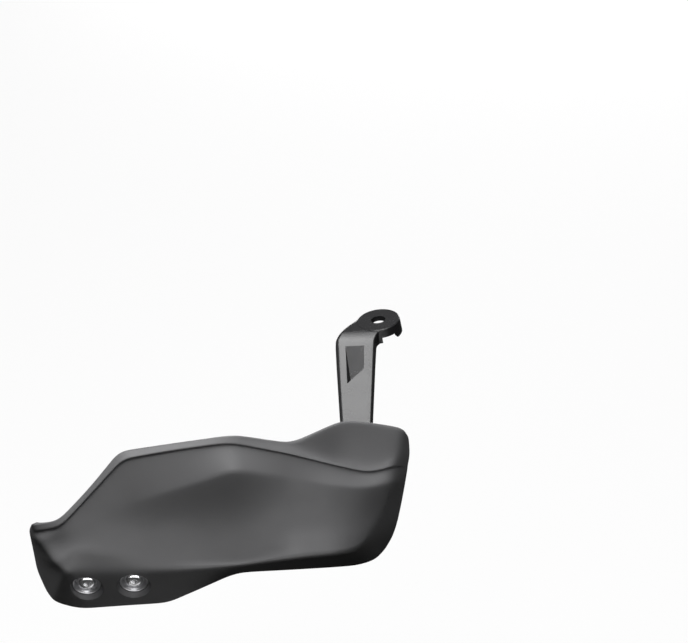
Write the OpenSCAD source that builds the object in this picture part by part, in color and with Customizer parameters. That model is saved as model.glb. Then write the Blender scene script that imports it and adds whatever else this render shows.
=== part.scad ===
// Hand guard for a motorcycle, right-hand side.
// The origin is the middle of the mirror bolt hole, on the top face of the eye.
// +Z is up along that hole, -X is outboard and -Y is forward.

/* [Shell] */
// Length of the shell from the outer tip to the inner end
shell_length = 279.1; // [250:0.5:310]
// Wall thickness of the shell
shell_wall = 3; // [2.4:0.1:3.4]
// How deep the scoop in the front face is
scoop_depth = 6; // [3:0.5:9]
// Depth of the flange behind the top edge
flange_depth = 7; // [5:0.5:10]
// Thickness of the ribs behind the shell
rib_t = 2; // [1.5:0.1:3]

/* [Arm] */
// Turn of the arm about the mirror bolt, seen from above
arm_yaw = 14; // [10:1:18]
// Slope of the arm below the horizontal
arm_drop = 35; // [31:1:39]
// Distance from the bolt to the bend in the arm
arm_bend_at = 19.6; // [18:0.2:24]
// Length of the sloping stretch of the arm
arm_run = 124; // [110:1:140]
// Thickness of the arm
arm_thick = 8.5; // [7:0.5:10]
// Width of the arm below its bend
arm_width = 29.2; // [27:0.2:32]
// Width of the arm where it goes behind the shell
arm_width_low = 21.8; // [20:0.2:25]
// Thickness of the foot at the end of the arm
foot_thick = 6; // [5:0.5:7]
// Slope of the foot below the horizontal
foot_pitch = 78; // [72:1:84]
// Distance from the lower bend to the middle of the foot screws
foot_drop = 24; // [22:0.5:26]
// Distance between the two foot screws
foot_screw_gap = 18; // [16:0.5:20]

/* [Eye] */
// Diameter of the hole for the mirror bolt
bolt_hole_d = 10.5; // [8.5:0.1:11]
// Diameter of the top face of the eye
eye_d = 31.4; // [29:0.2:34]
// Thickness of the plate that the bolt clamps
eye_plate = 4; // [3:0.5:5]
// Height of the eye with its skirt
eye_height = 11; // [9:0.5:12]
// Width of the notches that stop the eye turning
notch_w = 12.4; // [8:0.2:13]

/* [Outer screws] */
// Distance between the two outer screws
outer_screw_gap = 33.8; // [31:0.2:36]
// Diameter of the recess at the surface of the shell
recess_d = 24; // [23:0.5:25]
// Depth of the recess
recess_depth = 8.5; // [8:0.5:10]
// Thread diameter of the outer screws
outer_thread_d = 6; // [5:0.5:6]
// Length of the outer screws under the head
outer_screw_length = 18; // [15:1:25]
// Thickness of the nut plate
nut_plate_t = 3; // [2:0.5:4]

/* [Foot screws] */
// Thread diameter of the foot screws
foot_thread_d = 5; // [4:0.5:5]
// Length of the foot screws under the head
foot_screw_length = 16; // [14:1:17]
// Length of the brass inserts
insert_length = 10; // [8:0.5:12]

/* [Fits] */
// Clearance of a screw in a plain hole, on the diameter
hole_clearance = 0.6; // [0.4:0.1:1]
// Clearance between screw and thread, and between insert and boss, on the radius
thread_gap = 0.05; // [0.03:0.01:0.1]

/* [Hidden] */
$fn = 48;

function mix(a, b, share) = a + (b - a) * share;
function unit(v) = v / norm(v);

// Rounded corner of a polyline: a short curve whose ends lie `reach` from the corner
function corner(before, at, after, reach, steps) =
    let (back = norm(before - at), on = norm(after - at),
         a = mix(at, before, min(reach, 0.45 * back) / back),
         b = mix(at, after, min(reach, 0.45 * on) / on))
    [for (i = [0:steps]) let (t = i / steps) a * (1 - t) * (1 - t) + at * 2 * t * (1 - t) + b * t * t];

// Polyline with its corners rounded and one point added in the middle of each straight stretch
function rounded(points, reaches, steps) =
    let (last = len(points) - 1,
         runs = [for (i = [0:last]) i == 0 || i == last ? [points[i]]
                 : corner(points[i - 1], points[i], points[i + 1], reaches[i - 1], steps)])
    [for (i = [0:last]) each (i == 0 ? runs[0]
        : concat([mix(runs[i - 1][len(runs[i - 1]) - 1], runs[i][0], 0.5)], runs[i]))];

// Arm, in its own plane: v runs forward from the bolt and z runs up
land_step = 0.5;
arm_start = [-10, -land_step];
arm_bend = [arm_bend_at, -land_step];
arm_end = arm_bend + arm_run * [cos(arm_drop), -sin(arm_drop)];
foot_tip = 8;
foot_end = foot_drop + foot_screw_gap / 2 + foot_tip;
function along_foot(s) = arm_end + s * [cos(foot_pitch), -sin(foot_pitch)];
foot_middle = along_foot(foot_drop);
arm_side = 0.1;
foot_u = -arm_side - arm_width_low / 2;

// The shell is placed from a point on the foot's front face, this far below the arm's lower bend
datum_drop = 16;
datum = along_foot(datum_drop);
foot_at = [foot_u * cos(arm_yaw) - datum[0] * sin(arm_yaw),
           -foot_u * sin(arm_yaw) - datum[0] * cos(arm_yaw),
           datum[1]];

// Lines along the shell, each from the outer end to the inner end, measured from the foot
// Outer edge at the top: tip, notch, slope, corner, long edge, bend, saddle, wing
line_top = [[-230.5, 10, 30.3], [-210, -6, 38.6], [-184, -4, 59.6], [-158.5, -2, 84.3], [-119, -6, 85.7],
            [-76, -10, 86.5], [-38, -3, 68], [1, 12, 71], [26, 17, 60.5], [44.5, 20, 51]];
// Front of the rim, which runs on as the crease below the wing
line_rim = [[-228, 6, 26.3], [-209, -10, 35.8], [-181, -8.5, 59.6], [-157, -9, 81.4], [-119, -12, 83.5],
            [-80, -14, 82.8], [-41, -12.5, 65.3], [-9, -9, 47.3], [14, -3, 32.8], [32, 2, 32]];
// Valley between that crease and the wing, from the saddle on
line_valley = [[-35, -5, 65], [-6, 3, 42.5], [17, 1.5, 34.5], [37, 9, 36.5]];
// The face below the rim is set back by this step
rim_step = [0, 1.3, -2.4];
// Crease across the front face
line_crease = [[-227, 1, 21], [-207, -10.5, 32], [-183, -11, 41], [-158, -13, 46.6], [-119, -20, 57.2],
               [-80, -28, 68.5], [-41, -19, 47.4], [-13, -20, 37], [10, -15, 28], [29, -4, 22]];
// Short crease above the outer screws
line_ledge = [[-216.5, -18, 11], [-199, -18.5, 19.5], [-181, -21.5, 15], [-155, -23.5, 6.5], [-119, -28, 0],
              [-87, -32.5, -4]];
// Front edge at the bottom
line_edge = [[-210.5, -24, 6], [-199, -22, 1.5], [-180, -24, -1], [-155, -27, -2.5], [-119, -33, -4.5],
             [-86, -36, -6], [-49, -46, -2], [-19, -42, -6.5], [-6, -34, -11], [5, -23, -10]];
// Rear edge of the lower wall
line_bottom = [[-223.6, -2.6, -29.2], [-206, -10.6, -33.9], [-181, -13, -34.6], [-143, -17, -36.3],
               [-116, -23, -26], [-91, -23, -18.5], [-49, -21, -25.5], [-19, -19, -30.5], [-4, -14, -35], [9, -6, -37.5]];
// Rear edges of the two end walls, from the top down
rear_out = [[-226, 25, 22], [-229.5, 26, 20.6], [-231.2, 26.5, 18.4], [-232.2, 26.5, 16], [-232.6, 26.3, 14],
            [-232.6, 26, 9.5], [-232.4, 25, 3], [-232.2, 23, -5], [-232, 19.5, -14.6], [-228, 10, -26]];
rear_in = [[44, 27, 44], [46.5, 24.5, 41], [45.5, 19, 30], [42.5, 16, 22], [42, 15.5, 20], [39, 13, 11],
           [34, 9, -3], [29, 6, -16], [24, 4.5, -27], [17, 2, -35]];
// Share of the scoop's depth at each place along the shell
scoop_share = [0.3, 0.3, 0.3, 0.5, 0.9, 1.3, 1.1, 1, 0.6, 0.1];
// How far the inner front edge bows outwards
inner_bow = [5, 5.5, 2];
// Rounding of the corners along the shell, and across it from the top edge down
reach_along = [6, 8, 14, 7, 25, 9, 9, 9, 10, 6];
reach_across = [3, 9, 1, 1.2, 2.5, 16, 3, 6];
reach_inside = [4.5, 9, 4, 8, 7, 16, 4, 6];

// The outboard part stretches with the length of the shell
outer_reach = -rear_out[5][0];
inner_reach = rear_in[1][0];
stretch = (shell_length - inner_reach) / outer_reach;
function placed(line) = [for (p = line) [p[0] < 0 ? p[0] * stretch : p[0], p[1], p[2]]];
top_edge = placed(line_top);
rim = placed(line_rim);
valley = concat([for (i = [0:5]) mix(top_edge[i], rim[i], 0.5)], placed(line_valley));
step = [for (p = rim) p + rim_step];
crease = placed(line_crease);
ledge_out = placed(line_ledge);
edge_raw = placed(line_edge);
bottom_raw = placed(line_bottom);

// The flat that carries the outer screws lies between the second and fourth places
flat_a = edge_raw[1];
flat_n = unit(cross(bottom_raw[1] - flat_a, edge_raw[3] - flat_a));
function on_flat(p) = [p[0], flat_a[1] - (flat_n[0] * (p[0] - flat_a[0]) + flat_n[2] * (p[2] - flat_a[2]))
                       / flat_n[1], p[2]];
front_edge = [for (i = [0:9]) i == 2 ? on_flat(edge_raw[i]) : edge_raw[i]];
bottom = [for (i = [0:9]) i == 2 || i == 3 ? on_flat(bottom_raw[i]) : bottom_raw[i]];

scoop = [for (i = [0:9]) mix(crease[i], i < 5 ? ledge_out[i] : front_edge[i], 0.5)
         + scoop_depth * scoop_share[i] * [0, 0.85, -0.4] + (i == 9 ? inner_bow : [0, 0, 0])];
ledge = concat(ledge_out, [for (i = [6:9]) mix(scoop[i], front_edge[i], 0.7)]);
flange = [for (i = [0:9]) top_edge[i] + flange_depth * (i == 0 ? [1, 0.6, -0.4] : i == 9 ? [-0.6, 1, -0.5]
                                                        : [0, 1, -0.7])];
rows = [flange, top_edge, valley, rim, step, crease, scoop, ledge, front_edge, bottom];
outer_end = placed(rear_out);
// The inside of the wall follows softer lines, without the step
rows_inside = [flange, top_edge, [for (i = [0:9]) i < 6 ? mix(top_edge[i], rim[i], 0.3) : valley[i]],
               [for (i = [0:9]) mix(rim[i], step[i], 0.5)], [for (i = [0:9]) mix(step[i], crease[i], 0.35)],
               crease, scoop, ledge, front_edge, bottom];

// Grid of points over the lines, column by column
function shell_grid(lines, reaches, steps) =
    let (curves = [for (k = [0:9]) rounded(concat([outer_end[k]], lines[k], [rear_in[k]]), reach_along, steps)])
    [for (i = [0:len(curves[0]) - 1]) rounded([for (k = [0:9]) curves[k][i]], reaches, steps)];

function cell_normal(g, i, j) =
    i < 0 || j < 0 || i > len(g) - 2 || j > len(g[0]) - 2 ? [0, 0, 0]
    : unit(cross(g[i][j + 1] - g[i + 1][j], g[i + 1][j + 1] - g[i][j]));
function point_normal(g, i, j) =
    unit(cell_normal(g, i - 1, j - 1) + cell_normal(g, i, j - 1) + cell_normal(g, i - 1, j)
         + cell_normal(g, i, j));
function inset(g, depth) = [for (i = [0:len(g) - 1]) [for (j = [0:len(g[0]) - 1])
    g[i][j] - depth * point_normal(g, i, j)]];

// Two triangles for each cell of a grid whose first point has the number `start`
function cells(n, m, start, flip) = [for (i = [0:n - 2], j = [0:m - 2])
    let (a = start + i * m + j, b = a + 1, c = a + m, d = c + 1)
    each (flip ? [[a, c, d], [a, d, b]] : [[a, d, c], [a, b, d]])];
// Numbers of the points around a grid's edge, in order
function border(n, m) = concat([for (j = [0:m - 2]) j], [for (i = [0:n - 2]) i * m + m - 1],
    [for (j = [m - 1:-1:1]) (n - 1) * m + j], [for (i = [n - 1:-1:1]) i * m]);

// Moulded skin: the outer grid, the inner grid set in by the wall, and a strip that joins their edges
module skin() {
    outside = shell_grid(rows, reach_across, 3);
    inside = inset(shell_grid(rows_inside, reach_inside, 3), shell_wall);
    n = len(outside);
    m = len(outside[0]);
    ring = border(n, m);
    count = len(ring);
    strip = [for (k = [0:count - 1]) let (a = ring[k], b = ring[(k + 1) % count])
        each [[a, b, b + n * m], [a, b + n * m, a + n * m]]];
    polyhedron(points = concat([for (c = outside) each c], [for (c = inside) each c]),
               faces = concat(cells(n, m, 0, true), cells(n, m, n * m, false), strip), convexity = 12);
}

// Middle of the wall, closed far behind the shell: bosses and ribs are cut to it, so they end in the wall
module inside_of_wall() {
    middle = inset(shell_grid(rows_inside, reach_inside, 1), shell_wall / 2);
    n = len(middle);
    m = len(middle[0]);
    ring = border(n, m);
    count = len(ring);
    far_behind = [-100, 120, 0];
    cap = [for (k = [0:count - 1]) [ring[k], ring[(k + 1) % count], n * m]];
    polyhedron(points = concat([for (c = middle) each c], [far_behind]),
               faces = concat(cells(n, m, 0, true), cap), convexity = 12);
}

// Frame of the flat: x runs along it towards the inner end and z runs into the shell
screws_shift = -1.2;
flat_share = 0.422;
flat_out = mix(front_edge[1], bottom[1], flat_share);
flat_in = mix(front_edge[3], bottom[3], flat_share);
flat_middle = mix(front_edge[2], bottom[2], flat_share);
flat_x = unit(flat_in - flat_out - ((flat_in - flat_out) * flat_n) * flat_n);
flat_z = flat_n[1] > 0 ? flat_n : -flat_n;
flat_y = cross(flat_z, flat_x);
module at_flat() {
    translate(foot_at + flat_middle + screws_shift * flat_x)
        multmatrix([for (i = [0:2]) [flat_x[i], flat_y[i], flat_z[i], 0]]) children();
}
module at_outer_screw(k) { at_flat() translate([(k - 1.5) * outer_screw_gap, 0, 0]) children(); }

// Frame of the foot: y runs up along it and z runs from its front face towards the shell
module at_foot() {
    rotate([0, 0, -arm_yaw]) translate([foot_u, -foot_middle[0], foot_middle[1]]) rotate([foot_pitch, 0, 0])
        children();
}
module at_foot_screw(k) { at_foot() translate([0, (k - 1.5) * foot_screw_gap, 0]) children(); }

boss_floor = 3.5;
boss_wall = 2.5;
cup_clearance = 0.2;
recess_floor_r = recess_d / 2 - 1.6;
insert_r = foot_thread_d / 2 + 1.3;
foot_boss_r = insert_r + 2.6;
foot_boss_reach = 45;
boss_gusset = 6;
gusset_drop = 4;
rib_drop = 1;

// Bosses behind the wall for the outer screws and for the foot, joined in pairs by a web and held by gussets
module bosses() {
    for (k = [1:2]) at_outer_screw(k) cylinder(r = recess_floor_r + boss_wall, h = recess_depth + boss_floor);
    at_flat() translate([-outer_screw_gap / 2, -rib_t / 2, 0])
        cube([outer_screw_gap, rib_t, recess_depth + boss_floor - rib_drop]);
    for (k = [1:2]) at_outer_screw(k) translate([-rib_t / 2, -recess_d / 2 - boss_gusset, 0])
        cube([rib_t, recess_d + 2 * boss_gusset, recess_depth + boss_floor - rib_drop]);
    for (k = [1:2]) at_foot_screw(k) cylinder(r = foot_boss_r, h = foot_boss_reach);
    at_foot() translate([-rib_t / 2, -foot_screw_gap / 2, 0]) cube([rib_t, foot_screw_gap, foot_boss_reach]);
    for (k = [1:2]) at_foot_screw(k) translate([-foot_boss_r - boss_gusset, -rib_t / 2, gusset_drop])
        cube([2 * foot_boss_r + 2 * boss_gusset, rib_t, foot_boss_reach]);
}

// Skin and bosses as one mesh, at the size they are drawn
module moulding() {
    resize([0, 0, 0]) union() {
        translate(foot_at) skin();
        intersection() {
            bosses();
            translate(foot_at) inside_of_wall();
        }
    }
}

module shell() {
    color("#4a4a4c") difference() {
        moulding();
        for (k = [1:2]) at_outer_screw(k) {
            translate([0, 0, -1]) cylinder(r = recess_floor_r, h = recess_depth + 1);
            translate([0, 0, -1]) cylinder(r1 = recess_d / 2 + 1, r2 = recess_floor_r, h = 3.6);
            cylinder(r = (outer_thread_d + hole_clearance) / 2, h = recess_depth + boss_floor + 1);
        }
        for (k = [1:2]) at_foot_screw(k) {
            translate([0, 0, -1]) cylinder(r = insert_r + thread_gap, h = insert_length + 1);
            translate([0, 0, -1]) cylinder(r = foot_thread_d / 2 + 0.2, h = foot_screw_length);
        }
    }
}

// Section of the arm at a place on its path: a rectangle with rounded corners, upper left first
function arc_points(c, r, from) = [for (i = [0:3]) c + r * [cos(from + i * 30), sin(from + i * 30)]];
function arm_section(left, right, thick) = let (r = [3.5, 1, 1.2, 1.5])
    concat(arc_points([left + r[0], -r[0]], r[0], 90), arc_points([left + r[3], r[3] - thick], r[3], 180),
           arc_points([right - r[2], r[2] - thick], r[2], 270), arc_points([right - r[1], -r[1]], r[1], 0));
arm_left_top = -arm_side - arm_width;
arm_left_low = -arm_side - arm_width_low;
eye_r = eye_d / 2;
// How the left side swings out from the eye to the arm's full width
arm_flare = [[arm_start[0], 0], [arm_start[0] + 9, 0.37], [arm_start[0] + 17, 0.68],
             [arm_start[0] + 25, 0.89], [arm_bend_at + 2, 1]];
// How far each side draws in over the last stretch of the foot
function tip_in(s) = 9 * pow(max(0, s - foot_end + foot_tip) / foot_tip, 2);
function arm_left(v, s) = s > 0 ? arm_left_low + tip_in(s)
    : v < arm_bend_at + 2 ? mix(-0.8 * eye_r, arm_left_top, lookup(v, arm_flare))
    : lookup(v, [[arm_bend_at + 2, arm_left_top], [arm_bend_at + 10, arm_left_top + 0.3],
                 [arm_end[0] - 32, arm_left_low]]);
function arm_right(v, s) = s > 0 ? -arm_side - tip_in(s)
    : lookup(v, [[arm_start[0], eye_r * 0.6], [0, eye_r * 0.8], [arm_bend_at - 6, 3],
                 [arm_bend_at + 3, -arm_side]]);
// The arm is thicker at its root, under the eye, and thins at the lower bend
function arm_depth(v) = lookup(v, [[0, eye_height - 1], [arm_bend_at - 4, eye_height + 0.8],
                                   [arm_bend_at + 12, arm_thick + 0.8], [arm_bend_at + 50, arm_thick],
                                   [arm_end[0] - foot_bend_reach, arm_thick], [arm_end[0], foot_thick]]);

// Bend in the arm's path: each place has its point and its direction
function bend(before, at, after, reach, steps) =
    let (a = mix(at, before, reach / norm(before - at)), b = mix(at, after, reach / norm(after - at)))
    [for (i = [0:steps]) let (t = i / steps)
        [mix(mix(a, at, t), mix(at, b, t), t), unit(mix(at - a, b - at, t))]];

arm_bend_reach = 9;
foot_bend_reach = 7;
module arm_blade() {
    line = concat([for (v = [arm_start[0]:4:arm_bend_at - arm_bend_reach - 2]) [[v, -land_step], [1, 0]]],
                  bend(arm_start, arm_bend, arm_end, arm_bend_reach, 6),
                  [for (share = [0.2:0.15:0.8]) [mix(arm_bend, arm_end, share), unit(arm_end - arm_bend)]],
                  bend(arm_bend, arm_end, along_foot(foot_end), foot_bend_reach, 5),
                  [for (s = [foot_tip, 5, 2.5, 1, 0]) [along_foot(foot_end - s), unit(along_foot(1) - arm_end)]]);
    count = len(line);
    rings = [for (place = line)
        let (p = place[0], up = [-place[1][1], place[1][0]], s = p[0] > arm_end[0] ? norm(p - arm_end) : 0)
        [for (q = arm_section(arm_left(p[0], s), arm_right(p[0], s), arm_depth(p[0])))
            [q[0], -(p[0] + up[0] * q[1]), p[1] + up[1] * q[1]]]];
    m = len(rings[0]);
    sides = [for (i = [0:count - 2], j = [0:m - 1]) let (a = i * m + j, b = i * m + (j + 1) % m)
        each [[a, b + m, b], [a, a + m, b + m]]];
    ends = [[for (j = [0:m - 1]) j], [for (j = [m - 1:-1:0]) (count - 1) * m + j]];
    polyhedron(points = [for (r = rings) each r], faces = concat(sides, ends), convexity = 6);
}

// Wedge-shaped pocket in the face of the arm: flush at its upper end and deepest at its lower end
pocket_depth = 5;
pocket_slant = 2.6;
pocket_at = 9;
pocket_right = -7.5;
pocket_left = -21.2;
pocket_short = 18;
pocket_long = 30;
module arm_pocket() {
    over = 1;
    tilt = pocket_depth / pocket_long;
    top = [[pocket_left, 0, over], [pocket_right, 0, over], [pocket_right + 0.6, -pocket_short, over],
           [pocket_left + 2, -pocket_long, over]];
    floor = [[pocket_left, 0, 0], [pocket_right, 0, 0],
             [pocket_right + 0.6, -pocket_short, -pocket_short * tilt],
             [pocket_left + 2 + pocket_slant, -pocket_long + 1.5, -pocket_depth]];
    translate([0, -arm_bend_at, -land_step]) rotate([arm_drop, 0, 0]) translate([0, -pocket_at, 0])
        polyhedron(points = concat(top, floor), faces = [[0, 1, 2, 3], [6, 5, 4], [7, 6, 4], [4, 5, 1, 0],
            [5, 6, 2], [5, 2, 1], [7, 3, 2], [6, 7, 2], [4, 0, 3], [7, 4, 3]]);
}

skirt_draft = 0.5;
skirt_wall = 3.4;
land_chamfer = 0.6;
notch_turns = [-65.5, 90];
notch_h = 4.2;
// Arm in its own frame: the blade and the eye, less the bolt hole, the hollow below, the notches and the pocket
module mirror_arm() {
    color("#3c3c3e") rotate([0, 0, -arm_yaw]) difference() {
        union() {
            arm_blade();
            translate([0, 0, -eye_height])
                cylinder(r1 = eye_r + skirt_draft, r2 = eye_r, h = eye_height - land_chamfer);
            translate([0, 0, -land_chamfer]) cylinder(r1 = eye_r, r2 = eye_r - land_chamfer, h = land_chamfer);
        }
        translate([0, 0, -eye_height - 1]) cylinder(d = bolt_hole_d, h = eye_height + 2);
        translate([0, 0, -eye_height - 5]) cylinder(r = eye_r - skirt_wall, h = eye_height + 5 - eye_plate);
        for (turn = notch_turns) rotate([0, 0, arm_yaw + turn]) translate([0, -notch_w / 2, -eye_height - 1])
            cube([eye_r + 3, notch_w, notch_h + 1]);
        arm_pocket();
        translate([foot_u, -foot_middle[0], foot_middle[1]]) rotate([foot_pitch, 0, 0]) for (k = [1:2])
            translate([0, (k - 1.5) * foot_screw_gap, -foot_thick - 1])
                cylinder(d = foot_thread_d + hole_clearance, h = foot_thick + 2);
    }
}

// Screw with a low round head and a hexagon socket: z runs from the seat of the head into the thread
module button_screw(thread_d, length, head_d, head_h, socket_w) {
    socket_depth = head_h * 0.6;
    edge = 0.6;
    difference() {
        union() {
            translate([0, 0, -edge]) cylinder(d = head_d, h = edge);
            translate([0, 0, -head_h]) cylinder(d1 = head_d * 0.58, d2 = head_d, h = head_h - edge);
            cylinder(d = thread_d, h = length - 0.8);
            translate([0, 0, length - 0.8]) cylinder(d1 = thread_d, d2 = thread_d - 1.4, h = 0.8);
        }
        translate([0, 0, -head_h - 0.1]) cylinder(d = socket_w / cos(30), h = socket_depth + 0.1, $fn = 6);
    }
}

cup_floor = 1.2;
cup_wall = 1.1;
outer_head_d = 2.25 * outer_thread_d;
outer_head_h = 0.55 * outer_thread_d;
// Dished cup that the outer screw pulls into its recess
module cup_washer() {
    outer = recess_floor_r - cup_clearance;
    rotate_extrude() polygon([[(outer_thread_d + hole_clearance) / 2, recess_depth],
        [(outer_thread_d + hole_clearance) / 2, recess_depth - cup_floor],
        [outer_head_d / 2 + 0.8, recess_depth - cup_floor], [outer - cup_wall, recess_depth - 4.4],
        [outer - 0.4, recess_depth - 4.8], [outer, recess_depth - 4.4], [outer, recess_depth - 0.8],
        [outer - 0.8, recess_depth]]);
}
module cup_washer_1() { color("#9a9a9c") at_outer_screw(1) cup_washer(); }
module cup_washer_2() { color("#9a9a9c") at_outer_screw(2) cup_washer(); }

module outer_screw(k) {
    color("#c8c8ca") at_outer_screw(k) translate([0, 0, recess_depth - cup_floor])
        button_screw(outer_thread_d, outer_screw_length, outer_head_d, outer_head_h, 4);
}
module outer_screw_1() { outer_screw(1); }
module outer_screw_2() { outer_screw(2); }

nut_collar_r = outer_thread_d / 2 + 2;
nut_collar_h = 3;
nut_plate_r = 8;
plate_at = recess_depth + boss_floor;
// Steel strip with two tapped collars, flat against the backs of the outer bosses
module nut_plate() {
    half = outer_screw_gap / 2;
    color("#8c8c90") at_flat() difference() {
        union() {
            for (x = [-half, half]) translate([x, 0, plate_at]) cylinder(r = nut_plate_r, h = nut_plate_t);
            translate([-half, -nut_plate_r, plate_at]) cube([2 * half, 2 * nut_plate_r, nut_plate_t]);
            for (x = [-half, half]) translate([x, 0, plate_at])
                cylinder(r = nut_collar_r, h = nut_plate_t + nut_collar_h);
        }
        for (x = [-half, half]) translate([x, 0, plate_at - 1])
            cylinder(r = outer_thread_d / 2 + thread_gap, h = nut_plate_t + nut_collar_h + 2);
    }
}

washer_t = 1;
module foot_washer(k) {
    color("#b4b4b6") at_foot_screw(k) translate([0, 0, -foot_thick - washer_t]) difference() {
        cylinder(d = 2 * foot_thread_d + 2, h = washer_t);
        translate([0, 0, -1]) cylinder(d = foot_thread_d + hole_clearance, h = washer_t + 2);
    }
}
module foot_washer_1() { foot_washer(1); }
module foot_washer_2() { foot_washer(2); }

module foot_screw(k) {
    color("#c8c8ca") at_foot_screw(k) translate([0, 0, -foot_thick - washer_t])
        button_screw(foot_thread_d, foot_screw_length, 1.9 * foot_thread_d, 0.55 * foot_thread_d, 3);
}
module foot_screw_1() { foot_screw(1); }
module foot_screw_2() { foot_screw(2); }

// Brass insert with a groove round its middle, flush with the top of its boss
module thread_insert(k) {
    groove = 0.4;
    color("#b5934a") at_foot_screw(k) rotate_extrude() polygon([
        [foot_thread_d / 2 + thread_gap, 0], [insert_r, 0], [insert_r, insert_length * 0.4],
        [insert_r - groove, insert_length * 0.45], [insert_r - groove, insert_length * 0.55],
        [insert_r, insert_length * 0.6], [insert_r, insert_length], [foot_thread_d / 2 + thread_gap, insert_length]]);
}
module thread_insert_1() { thread_insert(1); }
module thread_insert_2() { thread_insert(2); }

shell();
mirror_arm();
cup_washer_1();
cup_washer_2();
outer_screw_1();
outer_screw_2();
nut_plate();
foot_screw_1();
foot_screw_2();
foot_washer_1();
foot_washer_2();
thread_insert_1();
thread_insert_2();
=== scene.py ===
"""Looks of a right-hand motorcycle hand guard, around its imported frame."""
import math

import bpy
import numpy as np
from mathutils import Matrix, Vector


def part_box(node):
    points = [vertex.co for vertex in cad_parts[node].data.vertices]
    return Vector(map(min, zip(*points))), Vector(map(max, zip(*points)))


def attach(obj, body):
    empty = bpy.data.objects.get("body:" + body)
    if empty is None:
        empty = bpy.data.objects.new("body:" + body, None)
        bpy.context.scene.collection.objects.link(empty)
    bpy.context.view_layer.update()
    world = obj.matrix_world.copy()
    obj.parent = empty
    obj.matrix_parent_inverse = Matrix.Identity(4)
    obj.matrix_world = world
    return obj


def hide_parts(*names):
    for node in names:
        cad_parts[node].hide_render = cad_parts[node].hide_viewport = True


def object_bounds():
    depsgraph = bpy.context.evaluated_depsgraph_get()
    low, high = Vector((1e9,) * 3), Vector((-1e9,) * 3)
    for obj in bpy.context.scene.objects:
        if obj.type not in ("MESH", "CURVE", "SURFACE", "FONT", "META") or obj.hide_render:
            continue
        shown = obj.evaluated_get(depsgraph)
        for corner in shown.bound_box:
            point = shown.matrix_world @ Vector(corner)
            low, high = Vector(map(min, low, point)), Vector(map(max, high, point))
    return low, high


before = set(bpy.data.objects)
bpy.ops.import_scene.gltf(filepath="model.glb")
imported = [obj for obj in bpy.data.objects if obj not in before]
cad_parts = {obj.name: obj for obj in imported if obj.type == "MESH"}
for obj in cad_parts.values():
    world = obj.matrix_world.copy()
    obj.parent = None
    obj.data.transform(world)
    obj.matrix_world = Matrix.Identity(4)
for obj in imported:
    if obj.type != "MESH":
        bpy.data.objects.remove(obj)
cad_low, cad_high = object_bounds()

# Lengths are in metres and angles in degrees, unless a name says otherwise
MM = 0.001
BODY = "root"


# Camera: the photograph's view, from a long way off
PHOTO_PIXELS = (688, 643)
PIXELS_PER_METRE = 1390
BOLT_HOLE_PIXEL = (378.5, 319.5)
VIEW_BACK = Vector((-0.0243, -0.8743, 0.4847))
VIEW_RIGHT = Vector((0.98570, -0.10181, -0.13429))
CAMERA_DISTANCE = 4.0
CAMERA_NEAR = 0.1
CAMERA_FAR = 20
SENSOR_WIDTH_MM = 36.0


def add_camera():
    back = VIEW_BACK.normalized()
    right = (VIEW_RIGHT - VIEW_RIGHT.dot(back) * back).normalized()
    up = back.cross(right)
    middle = (cad_low + cad_high) / 2
    across = (PHOTO_PIXELS[0] / 2 - BOLT_HOLE_PIXEL[0]) / PIXELS_PER_METRE
    rise = (BOLT_HOLE_PIXEL[1] - PHOTO_PIXELS[1] / 2) / PIXELS_PER_METRE
    target = across * right + rise * up + middle.dot(back) * back
    data = bpy.data.cameras.new("camera")
    camera = bpy.data.objects.new("camera", data)
    bpy.context.scene.collection.objects.link(camera)
    data.sensor_width = SENSOR_WIDTH_MM
    data.lens = SENSOR_WIDTH_MM * CAMERA_DISTANCE * PIXELS_PER_METRE / PHOTO_PIXELS[0]
    data.clip_start = CAMERA_NEAR
    data.clip_end = CAMERA_FAR
    turn = Matrix((right, up, back)).transposed().to_4x4()
    camera.matrix_world = Matrix.Translation(target + CAMERA_DISTANCE * back) @ turn
    bpy.context.scene.camera = camera


# Small tools for meshes
SAME_POINT = 0.001 * MM
MERGE_DISTANCE = 0.01 * MM
QUAD_BEND = 12
QUAD_SKEW = 60
EDGE_SEGMENTS = 2
FULL_WEIGHT = 100


def only(*objects):
    """Selects these objects alone, the last of them active."""
    bpy.ops.object.select_all(action="DESELECT")
    for o in objects:
        o.select_set(True)
    bpy.context.view_layer.objects.active = objects[-1]


def copy_of_node(node, name):
    """New object with a merged copy of a node's mesh, quads where two triangles make one face."""
    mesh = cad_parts[node].data.copy()
    piece = bpy.data.objects.new(name, mesh)
    bpy.context.scene.collection.objects.link(piece)
    mesh.materials.clear()
    only(piece)
    bpy.ops.object.mode_set(mode="EDIT")
    bpy.ops.mesh.select_all(action="SELECT")
    bpy.ops.mesh.remove_doubles(threshold=MERGE_DISTANCE)
    bpy.ops.mesh.tris_convert_to_quads(face_threshold=math.radians(QUAD_BEND),
                                       shape_threshold=math.radians(QUAD_SKEW))
    bpy.ops.object.mode_set(mode="OBJECT")
    return piece


def apply_modifier(piece, kind, **settings):
    only(piece)
    modifier = piece.modifiers.new(kind.lower(), kind)
    for key, value in settings.items():
        setattr(modifier, key, value)
    bpy.ops.object.modifier_apply(modifier=modifier.name)


def ease_edges(piece, width, angle):
    """Rounds the edges that turn by more than this angle."""
    apply_modifier(piece, "BEVEL", width=width, segments=EDGE_SEGMENTS, limit_method="ANGLE",
                   angle_limit=math.radians(angle))


def smooth_faces(piece, angle):
    """Shades smooth across the edges that turn by less than this angle."""
    only(piece)
    bpy.ops.object.shade_smooth_by_angle(angle=math.radians(angle))


def keep_flats(piece):
    """Lets the large faces set the normals, so that flats stay flat beside their eased edges."""
    apply_modifier(piece, "WEIGHTED_NORMAL", keep_sharp=True, weight=FULL_WEIGHT)


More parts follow.
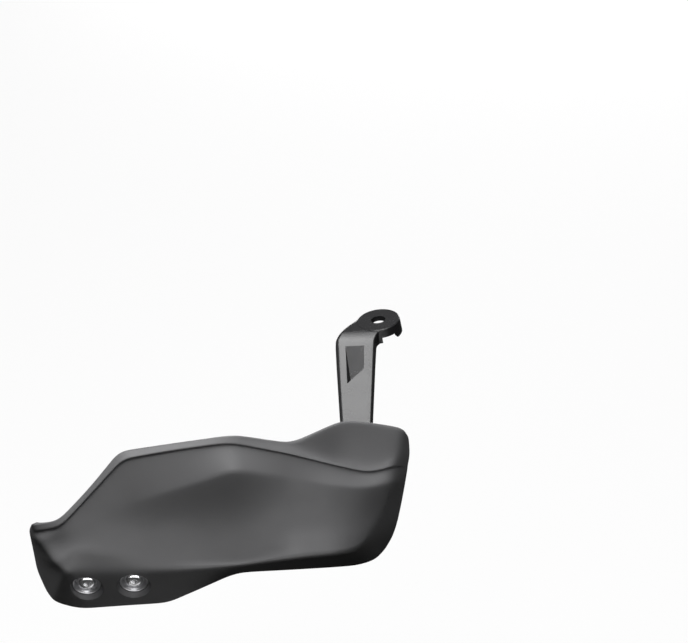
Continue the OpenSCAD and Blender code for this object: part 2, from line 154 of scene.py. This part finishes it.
def finish_piece(piece, material, slot, *nodes):
    piece.data.materials.clear()
    piece.data.materials.append(material)
    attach(piece, BODY)
    if nodes:
        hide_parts(*nodes)


# Materials: a noise's scale is in waves per metre, and its values mostly lie in this range
NOISE_LOW = 0.3
NOISE_HIGH = 0.7
PLASTIC_TONE = {"scale": 35, "detail": 3}
PLASTIC_GLOSS = {"scale": 60, "detail": 4, "roughness": 0.6}
PLASTIC_GRAIN = {"scale": 1500, "detail": 3, "roughness": 0.6}
GRAIN_HEIGHT = 0.1 * MM
GRAIN_STRENGTH = 0.7
METAL_TONE = {"scale": 160, "detail": 3}
METAL_GLOSS = {"scale": 400, "detail": 3}
METAL_SCRATCHES = {"scale": 3000, "detail": 2}
METAL_GLOSS_SPREAD = 0.2
SCRATCH_STRENGTH = 0.4


def new_material(name):
    material = bpy.data.materials.new(name)
    material.use_nodes = True
    tree = material.node_tree
    return material, tree, tree.nodes["Principled BSDF"]


def add_node(tree, kind, **values):
    """New node with these values in its inputs or, where it has no such input, its settings."""
    node = tree.nodes.new(kind)
    for key, value in values.items():
        if key in node.inputs:
            node.inputs[key].default_value = value
        else:
            setattr(node, key, value)
    return node


def object_coordinates(tree):
    return add_node(tree, "ShaderNodeTexCoord").outputs["Object"]


def noise(tree, where, scale, detail, roughness=0.5):
    node = add_node(tree, "ShaderNodeTexNoise", Scale=scale, Detail=detail, Roughness=roughness)
    tree.links.new(where, node.inputs["Vector"])
    return node.outputs["Fac"]


def spread(tree, value, low, high):
    """A noise's value, spread from low to high."""
    node = add_node(tree, "ShaderNodeMapRange")
    node.inputs["From Min"].default_value = NOISE_LOW
    node.inputs["From Max"].default_value = NOISE_HIGH
    node.inputs["To Min"].default_value = low
    node.inputs["To Max"].default_value = high
    tree.links.new(value, node.inputs["Value"])
    return node.outputs["Result"]


def two_tone(tree, value, dark, light):
    node = add_node(tree, "ShaderNodeMix", data_type="RGBA")
    node.inputs["A"].default_value = (*dark, 1)
    node.inputs["B"].default_value = (*light, 1)
    tree.links.new(value, node.inputs["Factor"])
    return node.outputs["Result"]


def bump(tree, shader, value, height, strength):
    node = add_node(tree, "ShaderNodeBump", Strength=strength, Distance=height)
    tree.links.new(value, node.inputs["Height"])
    tree.links.new(node.outputs["Normal"], shader.inputs["Normal"])


def moulded_plastic(name, dark, light, smoothest, roughest, specular):
    material, tree, shader = new_material(name)
    where = object_coordinates(tree)
    tone = two_tone(tree, noise(tree, where, **PLASTIC_TONE), dark, light)
    tree.links.new(tone, shader.inputs["Base Color"])
    gloss = spread(tree, noise(tree, where, **PLASTIC_GLOSS), smoothest, roughest)
    tree.links.new(gloss, shader.inputs["Roughness"])
    shader.inputs["Specular IOR Level"].default_value = specular
    bump(tree, shader, noise(tree, where, **PLASTIC_GRAIN), GRAIN_HEIGHT, GRAIN_STRENGTH)
    return material


def metal_finish(name, dark, light, roughness, scratch_height):
    material, tree, shader = new_material(name)
    where = object_coordinates(tree)
    tone = two_tone(tree, noise(tree, where, **METAL_TONE), dark, light)
    tree.links.new(tone, shader.inputs["Base Color"])
    gloss = spread(tree, noise(tree, where, **METAL_GLOSS),
                   roughness * (1 - METAL_GLOSS_SPREAD), roughness * (1 + METAL_GLOSS_SPREAD))
    tree.links.new(gloss, shader.inputs["Roughness"])
    shader.inputs["Metallic"].default_value = 1
    bump(tree, shader, noise(tree, where, **METAL_SCRATCHES), scratch_height, SCRATCH_STRENGTH)
    return material


# Shell and arm keep their nodes' forms, with eased edges
SHELL_EDGE = 0.5 * MM
SHELL_EDGE_ANGLE = 50
SHELL_SMOOTH_ANGLE = 45
ARM_EDGE = 0.4 * MM
ARM_ANGLE = 40
POCKET_NORMAL = Vector((-0.172, -0.680, 0.712))
SAME_WAY_ANGLE = 3


def build_shell(material):
    piece = copy_of_node("shell", "guard_shell")
    ease_edges(piece, SHELL_EDGE, SHELL_EDGE_ANGLE)
    apply_modifier(piece, "SUBSURF", levels=1, render_levels=1)
    smooth_faces(piece, SHELL_SMOOTH_ANGLE)
    finish_piece(piece, material, "shell_plastic", "shell")


def mark_edges_round(piece, normal):
    """Makes the edges sharp all round the faces that look this way."""
    bpy.ops.object.mode_set(mode="EDIT")
    bpy.ops.mesh.select_mode(type="FACE")
    bpy.ops.mesh.select_all(action="DESELECT")
    bpy.ops.object.mode_set(mode="OBJECT")
    for face in piece.data.polygons:
        face.select = face.normal.angle(normal) < math.radians(SAME_WAY_ANGLE)
    bpy.ops.object.mode_set(mode="EDIT")
    bpy.ops.mesh.region_to_loop()
    bpy.ops.mesh.mark_sharp()
    bpy.ops.mesh.select_mode(type="VERT")
    bpy.ops.object.mode_set(mode="OBJECT")


def build_arm(material):
    piece = copy_of_node("mirror_arm", "guard_arm")
    ease_edges(piece, ARM_EDGE, ARM_ANGLE)
    smooth_faces(piece, ARM_ANGLE)
    mark_edges_round(piece, POCKET_NORMAL)
    keep_flats(piece)
    finish_piece(piece, material, "arm_coat", "mirror_arm")


# Screws are turned on the z axis, head first, and then placed where their nodes lie
TURNED_SIDES = 48
HEXAGON_SIDES = 6
HEXAGON_CUTS = TURNED_SIDES // HEXAGON_SIDES - 1
DOME_STEPS = 7
DOME_TOP_SHARE = 0.5
HEAD_BAND = 0.6 * MM
HEAD_CHAMFER = 0.25 * MM
SOCKET_DEPTH = 1.4 * MM
SOCKET_CHAMFER = 0.15 * MM
SOCKET_CHAMFER_SHARE = 1.06
THREAD_PITCH = 1 * MM
THREAD_DEPTH = 0.6 * MM
GROOVE_START = 0.45 * THREAD_PITCH
GROOVE_END = 0.55 * THREAD_PITCH
CREST_START = 0.95 * THREAD_PITCH
SCREW_SMOOTH_ANGLE = 35
OUTER_SCREW = {"thread_r": 3 * MM, "head_r": 6.75 * MM, "head_h": 3.3 * MM,
               "shank": 18 * MM, "neck": 3 * MM, "socket_w": 4 * MM}
FOOT_SCREW = {"thread_r": 2.5 * MM, "head_r": 4.75 * MM, "head_h": 2.75 * MM,
              "shank": 16 * MM, "neck": 7.5 * MM, "socket_w": 3 * MM}


def start_ring(radius, height, sides):
    """Adds a ring round the z axis and leaves it selected in edit mode."""
    bpy.ops.object.select_all(action="DESELECT")
    bpy.ops.mesh.primitive_circle_add(vertices=sides, radius=radius, location=(0, 0, height))
    piece = bpy.context.object
    bpy.ops.object.transform_apply(location=True, rotation=True, scale=True)
    bpy.ops.object.mode_set(mode="EDIT")
    bpy.ops.mesh.select_all(action="SELECT")
    return piece


def extend_rings(start, rings):
    """Extrudes the selected ring from its start through each next radius and height."""
    radius, height = start
    for next_radius, next_height in rings:
        bpy.ops.mesh.extrude_edges_move(
            TRANSFORM_OT_translate={"value": (0, 0, next_height - height)})
        share = next_radius / radius
        bpy.ops.transform.resize(value=(share, share, 1), center_override=(0, 0, next_height))
        radius, height = next_radius, next_height


def select_edges_at(piece, height):
    """Selects the edges that lie flat at this height."""
    bpy.ops.mesh.select_mode(type="EDGE")
    bpy.ops.mesh.select_all(action="DESELECT")
    bpy.ops.object.mode_set(mode="OBJECT")
    points = piece.data.vertices
    for edge in piece.data.edges:
        edge.select = all(abs(points[v].co.z - height) < SAME_POINT for v in edge.vertices)
    bpy.ops.object.mode_set(mode="EDIT")


def close_and_turn_out():
    """Closes what is open and turns the faces outwards."""
    bpy.ops.mesh.select_all(action="SELECT")
    bpy.ops.mesh.remove_doubles(threshold=SAME_POINT)
    bpy.ops.mesh.select_all(action="DESELECT")
    bpy.ops.mesh.select_non_manifold()
    bpy.ops.mesh.fill_holes(sides=0)
    bpy.ops.mesh.select_all(action="SELECT")
    bpy.ops.mesh.normals_make_consistent(inside=False)
    bpy.ops.object.mode_set(mode="OBJECT")


def screw_rings(thread_r, head_r, head_h, shank, neck):
    """Radius and height of the rings from the head's flat top to the tip of the thread."""
    top_r = head_r * DOME_TOP_SHARE
    dome_h = head_h - HEAD_BAND
    turns = [math.pi / 2 * step / DOME_STEPS for step in range(1, DOME_STEPS + 1)]
    rings = [(top_r + (head_r - top_r) * math.sin(turn), dome_h * (1 - math.cos(turn)))
             for turn in turns]
    rings += [(head_r, head_h - HEAD_CHAMFER), (head_r - HEAD_CHAMFER, head_h),
              (thread_r, head_h), (thread_r, head_h + neck)]
    root_r = thread_r - THREAD_DEPTH
    tip = head_h + shank
    z = head_h + neck
    while z + THREAD_PITCH < tip - THREAD_DEPTH:
        rings += [(root_r, z + GROOVE_START), (root_r, z + GROOVE_END),
                  (thread_r, z + CREST_START), (thread_r, z + THREAD_PITCH)]
        z += THREAD_PITCH
    return rings + [(root_r, tip)]


def model_screw(thread_r, head_r, head_h, shank, neck, socket_w):
    """Button-head screw: hexagon socket, domed head, plain neck and a ridged thread."""
    hexagon_r = socket_w / 2 / math.cos(math.pi / HEXAGON_SIDES)
    socket = start_ring(hexagon_r, SOCKET_DEPTH, HEXAGON_SIDES)
    bpy.ops.mesh.subdivide(number_cuts=HEXAGON_CUTS)
    # The socket's radii are shares of the hexagon's own
    extend_rings((1, SOCKET_DEPTH), [(1, SOCKET_CHAMFER), (SOCKET_CHAMFER_SHARE, 0)])
    bpy.ops.object.mode_set(mode="OBJECT")
    top_r = head_r * DOME_TOP_SHARE
    head = start_ring(top_r, 0, TURNED_SIDES)
    extend_rings((top_r, 0), screw_rings(thread_r, head_r, head_h, shank, neck))
    bpy.ops.object.mode_set(mode="OBJECT")
    only(socket, head)
    bpy.ops.object.join()
    bpy.ops.object.mode_set(mode="EDIT")
    select_edges_at(head, 0)
    bpy.ops.mesh.bridge_edge_loops()
    close_and_turn_out()
    smooth_faces(head, SCREW_SMOOTH_ANGLE)
    return head


def axis_of_node(node):
    """Placement of a screw's node: z along its axis into the thread, zero on top of its head."""
    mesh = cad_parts[node].data
    areas = np.array([face.area for face in mesh.polygons])
    normals = np.array([face.normal for face in mesh.polygons])
    centre = Vector(areas @ np.array([face.center for face in mesh.polygons]) / areas.sum())
    # The faces look across the axis equally in two directions, so the axis has the odd share
    shares, directions = np.linalg.eigh((normals.T * areas) @ normals)
    odd_one = 0 if shares[1] - shares[0] > shares[2] - shares[1] else 2
    along = Vector(directions[:, odd_one])
    steps = [(v.co - centre).dot(along) for v in mesh.vertices]
    widest = max(mesh.vertices, key=lambda v: (v.co - centre).cross(along).length)
    if (widest.co - centre).dot(along) > (min(steps) + max(steps)) / 2:
        along = -along
        steps = [-step for step in steps]
    turn = along.to_track_quat("Z", "Y").to_matrix().to_4x4()
    return Matrix.Translation(centre + min(steps) * along) @ turn


def build_screws(shape, name, material, *nodes):
    """One modelled screw, copied to each of these nodes."""
    pattern = model_screw(**shape)
    for number, node in enumerate(nodes, 1):
        piece = bpy.data.objects.new(f"{name}_{number}", pattern.data.copy())
        bpy.context.scene.collection.objects.link(piece)
        piece.matrix_world = axis_of_node(node)
        only(piece)
        bpy.ops.object.transform_apply(location=True, rotation=True, scale=True)
        finish_piece(piece, material, "screw_steel", node)
    bpy.data.objects.remove(pattern)


# Cups, washers and strip keep their nodes' forms too, and the inserts stay as they are
CUP_EDGE = 0.25 * MM
WASHER_EDGE = 0.15 * MM
STRIP_EDGE = 0.3 * MM
METALWORK_ANGLE = 40


def build_metalwork(node, name, material, edge):
    piece = copy_of_node(node, name)
    ease_edges(piece, edge, METALWORK_ANGLE)
    smooth_faces(piece, METALWORK_ANGLE)
    keep_flats(piece)
    finish_piece(piece, material, "plated_steel", node)


def dress_node(node, material):
    """Gives a node that is right as it is its finish."""
    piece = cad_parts[node]
    piece.data.materials.clear()
    piece.data.materials.append(material)


# Floor and background: white for the camera, nearly dark for what bounces light onto the guard
FLOOR_SIZE = 12
FLOOR_DROP = 250 * MM
FLOOR_FOR_CAMERA = 0.85
FLOOR_FOR_GLOSS = 0.03
FLOOR_TONE = 0.8
FLOOR_BOUNCE = 0.01
AMBIENT = 0.004
WORLD_FOR_GLOSS = 0.1
WHITE = (1, 1, 1, 1)


def times(tree, value, factor):
    node = add_node(tree, "ShaderNodeMath", operation="MULTIPLY")
    node.inputs[1].default_value = factor
    tree.links.new(value, node.inputs[0])
    return node.outputs[0]


def largest(tree, *values):
    result = values[0]
    for value in values[1:]:
        node = add_node(tree, "ShaderNodeMath", operation="MAXIMUM")
        tree.links.new(result, node.inputs[0])
        tree.links.new(value, node.inputs[1])
        result = node.outputs[0]
    return result


def blend_shaders(tree, share, first, second, output):
    mix = add_node(tree, "ShaderNodeMixShader")
    tree.links.new(share, mix.inputs["Fac"])
    tree.links.new(first, mix.inputs[1])
    tree.links.new(second, mix.inputs[2])
    tree.links.new(mix.outputs[0], tree.nodes[output].inputs["Surface"])


def add_floor():
    bpy.ops.mesh.primitive_plane_add(size=FLOOR_SIZE, location=(0, 0, cad_low.z - FLOOR_DROP))
    floor = bpy.context.object
    floor.name = "floor"
    material, tree, shader = new_material("pale_floor")
    ray = add_node(tree, "ShaderNodeLightPath")
    tone = add_node(tree, "ShaderNodeMapRange")
    tone.inputs["To Min"].default_value = FLOOR_BOUNCE
    tone.inputs["To Max"].default_value = FLOOR_TONE
    tree.links.new(ray.outputs["Is Camera Ray"], tone.inputs["Value"])
    tree.links.new(tone.outputs["Result"], shader.inputs["Base Color"])
    shader.inputs["Roughness"].default_value = 1
    shader.inputs["Specular IOR Level"].default_value = 0
    glow = add_node(tree, "ShaderNodeEmission", Color=WHITE, Strength=1)
    share = largest(tree, times(tree, ray.outputs["Is Camera Ray"], FLOOR_FOR_CAMERA),
                    times(tree, ray.outputs["Is Transmission Ray"], FLOOR_FOR_CAMERA),
                    times(tree, ray.outputs["Is Glossy Ray"], FLOOR_FOR_GLOSS))
    blend_shaders(tree, share, shader.outputs[0], glow.outputs[0], "Material Output")
    floor.data.materials.append(material)


def add_world():
    world = bpy.data.worlds.new("studio")
    bpy.context.scene.world = world
    world.use_nodes = True
    tree = world.node_tree
    backdrop = tree.nodes["Background"]
    backdrop.inputs["Color"].default_value = WHITE
    backdrop.inputs["Strength"].default_value = 1
    ambient = add_node(tree, "ShaderNodeBackground", Color=WHITE, Strength=AMBIENT)
    ray = add_node(tree, "ShaderNodeLightPath")
    share = largest(tree, ray.outputs["Is Camera Ray"], ray.outputs["Is Transmission Ray"],
                    times(tree, ray.outputs["Is Glossy Ray"], WORLD_FOR_GLOSS))
    blend_shaders(tree, share, ambient.outputs[0], backdrop.outputs[0], "World Output")


def add_softbox(name, middle, direction, distance, width, height, level, for_gloss_only=False):
    """Area lamp that lights a white surface at this middle to the level, where 1 is full white."""
    data = bpy.data.lights.new(name, "AREA")
    data.shape = "RECTANGLE"
    data.size = width
    data.size_y = height
    data.energy = level * math.pi ** 2 * distance ** 2
    lamp = bpy.data.objects.new(name, data)
    bpy.context.scene.collection.objects.link(lamp)
    towards = Vector(direction).normalized()
    lamp.location = middle + distance * towards
    lamp.rotation_euler = (-towards).to_track_quat("-Z", "Y").to_euler()
    lamp.visible_camera = False
    lamp.visible_diffuse = not for_gloss_only


def add_lights():
    guard_middle = (cad_low + cad_high) / 2
    screws_middle = (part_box("outer_screw_1")[0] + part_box("outer_screw_2")[1]) / 2
    add_softbox("softbox_top", guard_middle, direction=(-0.2, 0.05, 0.98),
                distance=1.5, width=1.1, height=0.85, level=1.05)
    add_softbox("softbox_rear_top", guard_middle, direction=(0.0, 0.45, 0.9),
                distance=1.5, width=1.0, height=0.5, level=0.3)
    add_softbox("softbox_front", guard_middle, direction=(0.08, -0.6, 0.79),
                distance=1.6, width=1.0, height=0.5, level=0.4)
    add_softbox("softbox_right", guard_middle, direction=(0.38, -0.32, 0.87),
                distance=1.6, width=0.7, height=0.6, level=0.12)
    add_softbox("softbox_back", guard_middle, direction=(0.35, 0.93, -0.12),
                distance=1.6, width=1.2, height=0.6, level=0.5)
    add_softbox("gloss_panel", guard_middle, direction=(0.0, -0.99, -0.1),
                distance=1.2, width=1.6, height=0.7, level=1.1, for_gloss_only=True)
    add_softbox("gloss_card", screws_middle, direction=(0.02, -0.21, -0.97),
                distance=0.2, width=0.12, height=0.07, level=0.07, for_gloss_only=True)


bpy.context.scene.view_settings.view_transform = "Standard"
add_camera()
add_world()
add_floor()
add_lights()

shell_plastic = moulded_plastic("shell_plastic", dark=(0.128, 0.128, 0.131), light=(0.144, 0.144, 0.147),
                                smoothest=0.45, roughest=0.52, specular=0.22)
arm_plastic = moulded_plastic("arm_plastic", dark=(0.018, 0.018, 0.019), light=(0.023, 0.023, 0.024),
                              smoothest=0.24, roughest=0.29, specular=0.5)
zinc = metal_finish("zinc_plate", dark=(0.36, 0.36, 0.37), light=(0.43, 0.43, 0.44),
                    roughness=0.38, scratch_height=0.01 * MM)
bright_steel = metal_finish("bright_steel", dark=(0.82, 0.82, 0.83), light=(0.88, 0.88, 0.89),
                            roughness=0.22, scratch_height=0.003 * MM)
brass = metal_finish("turned_brass", dark=(0.62, 0.45, 0.2), light=(0.7, 0.52, 0.26),
                     roughness=0.3, scratch_height=0.02 * MM)

build_shell(shell_plastic)
build_arm(arm_plastic)
build_screws(OUTER_SCREW, "outer_button_screw", bright_steel, "outer_screw_1", "outer_screw_2")
build_screws(FOOT_SCREW, "foot_button_screw", bright_steel, "foot_screw_1", "foot_screw_2")
for number in (1, 2):
    build_metalwork(f"cup_washer_{number}", f"dished_cup_{number}", zinc, CUP_EDGE)
    build_metalwork(f"foot_washer_{number}", f"flat_washer_{number}", zinc, WASHER_EDGE)
    dress_node(f"thread_insert_{number}", brass)
build_metalwork("nut_plate", "tapped_strip", zinc, STRIP_EDGE)
